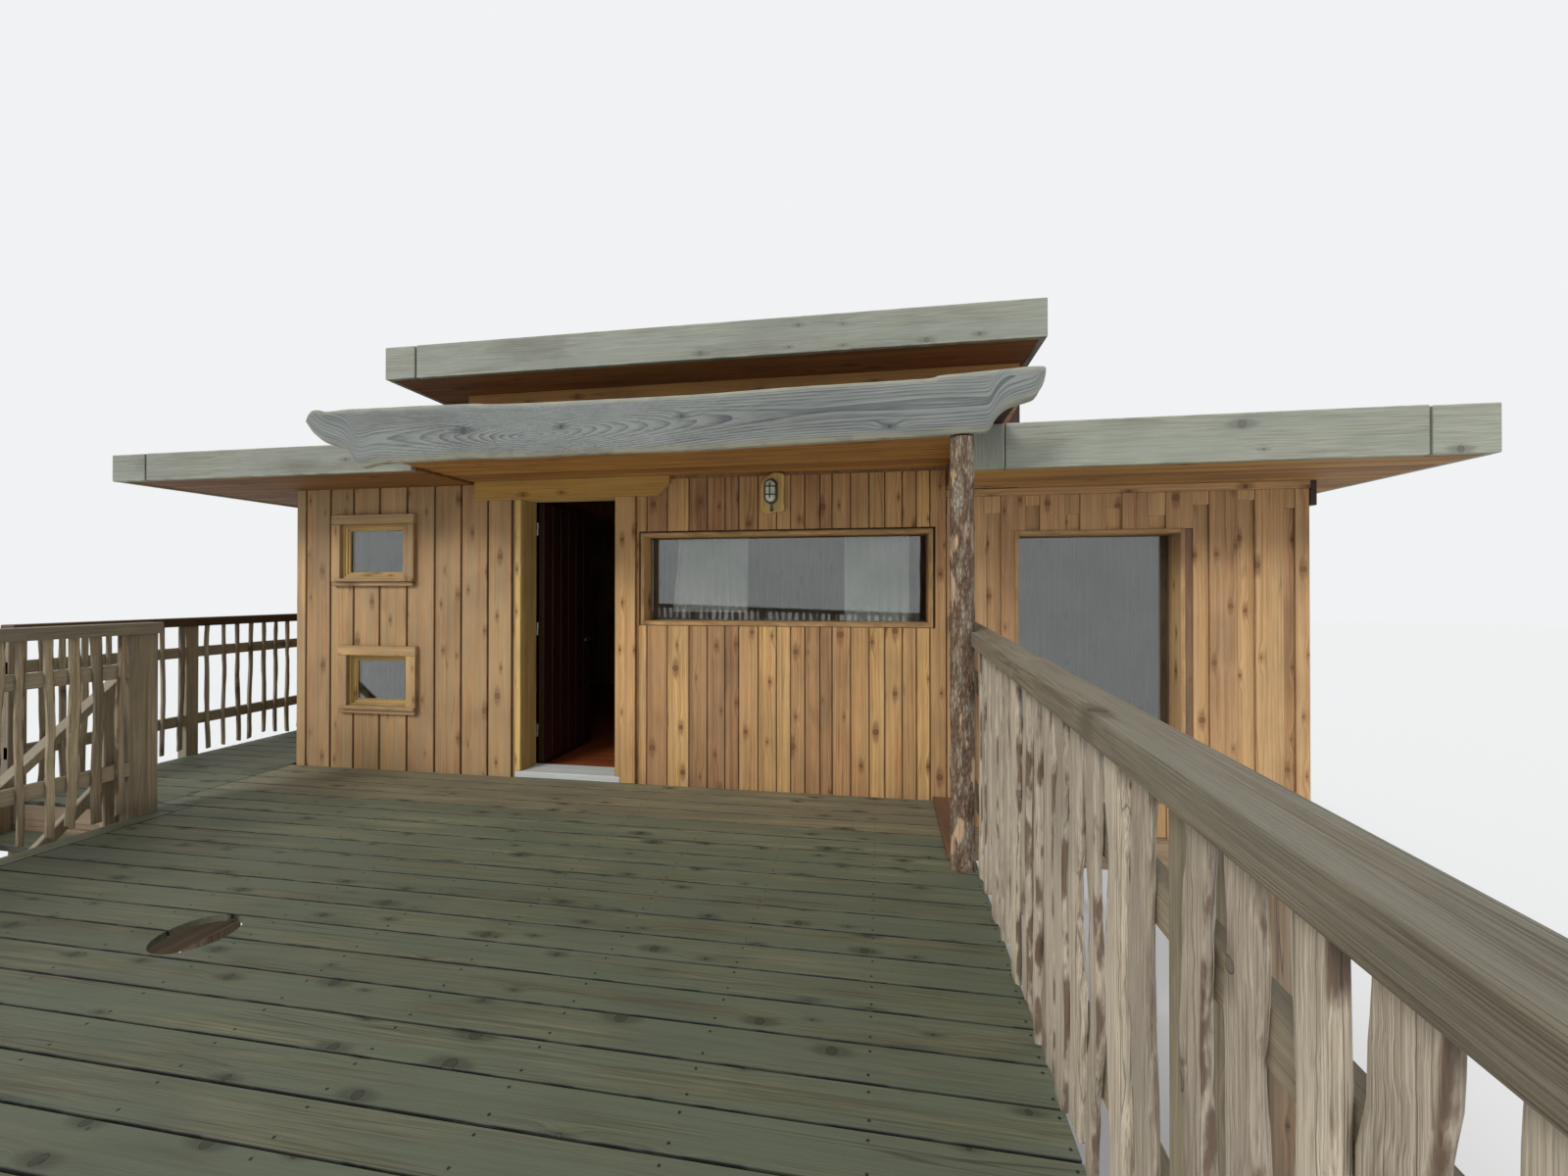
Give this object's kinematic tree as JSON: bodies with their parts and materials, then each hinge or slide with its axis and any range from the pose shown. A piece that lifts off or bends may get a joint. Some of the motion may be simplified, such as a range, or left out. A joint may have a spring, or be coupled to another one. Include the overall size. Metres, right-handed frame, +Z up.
{
  "type": "tree house",
  "caption": "Timber cabin on stilts with a terrace deck, split-stick railings, open stair, stepped flat roofs, a canopy edged by a waney slab, and a swinging door.",
  "frame": {"origin": "centre of the overall footprint, on the ground under the stilts", "axes": "+X to the right along the front wall, +Y from the deck back to the cabin, +Z up"},
  "size_m": [8.82, 10.52, 5.7],
  "materials": {
    "beam_wood": "weathered sawn timber",
    "cladding_wood": "rough upright boards, warm brown",
    "new_wood": "planed, light yellow brown",
    "soffit_wood": "oiled boards, red brown",
    "silver_wood": "sawn, weathered to silver grey",
    "bark_wood": "log with bark and knots",
    "floor_wood": "varnished, red brown",
    "deck_wood": "weathered decking, green grey",
    "stick_wood": "split and peeled, grey tan",
    "threshold_wood": "worn pale board",
    "handle_metal": "satin",
    "lamp_metal": "dark bronze green",
    "glass": "clear"
  },
  "bodies": {
    "house": {"stilts": "beam_wood", "knee_braces": "beam_wood", "beams": "beam_wood", "joists": "beam_wood", "cabin_floor": "floor_wood", "front_wall_left": "cladding_wood", "front_wall_over_door": "cladding_wood", "front_wall_centre": "cladding_wood", "front_wall_right": "cladding_wood", "left_wall": "cladding_wood", "right_wall": "cladding_wood", "back_wall": "cladding_wood", "clerestory": "cladding_wood", "left_roof": "soffit_wood", "right_roof": "soffit_wood", "upper_roof": "soffit_wood", "left_fascia": "silver_wood", "right_fascia": "silver_wood", "upper_fascia": "silver_wood", "canopy_roof": "soffit_wood", "waney_fascia": "silver_wood", "log_post": "bark_wood", "lintel_board": "new_wood", "door_frame": "new_wood", "threshold": "threshold_wood", "frame_hinges": "handle_metal", "small_window_frames": "new_wood", "wide_window_frame": "new_wood", "picture_window_frame": "new_wood", "window_glass": "glass", "wall_lamp": "lamp_metal", "lamp_block": "new_wood", "deck_boards": "deck_wood", "deck_edge_board": "floor_wood", "right_railing": "stick_wood", "near_railing": "stick_wood", "left_railing": "stick_wood", "gallery_railing": "stick_wood", "gallery_end_railing": "stick_wood", "stair_stringers": "beam_wood", "stair_treads": "deck_wood", "stair_railings": "stick_wood"},
    "door": {"door_leaf": "floor_wood", "door_handle": "handle_metal", "leaf_hinges": "handle_metal"}
  },
  "joints": [
    {"name": "door_hinge", "type": "hinge", "parent": "house", "child": "door", "pos_m": [-1.222, 0.589, 3.6], "axis": [0, 0, 1], "range_deg": [-90, 15]}
  ]
}
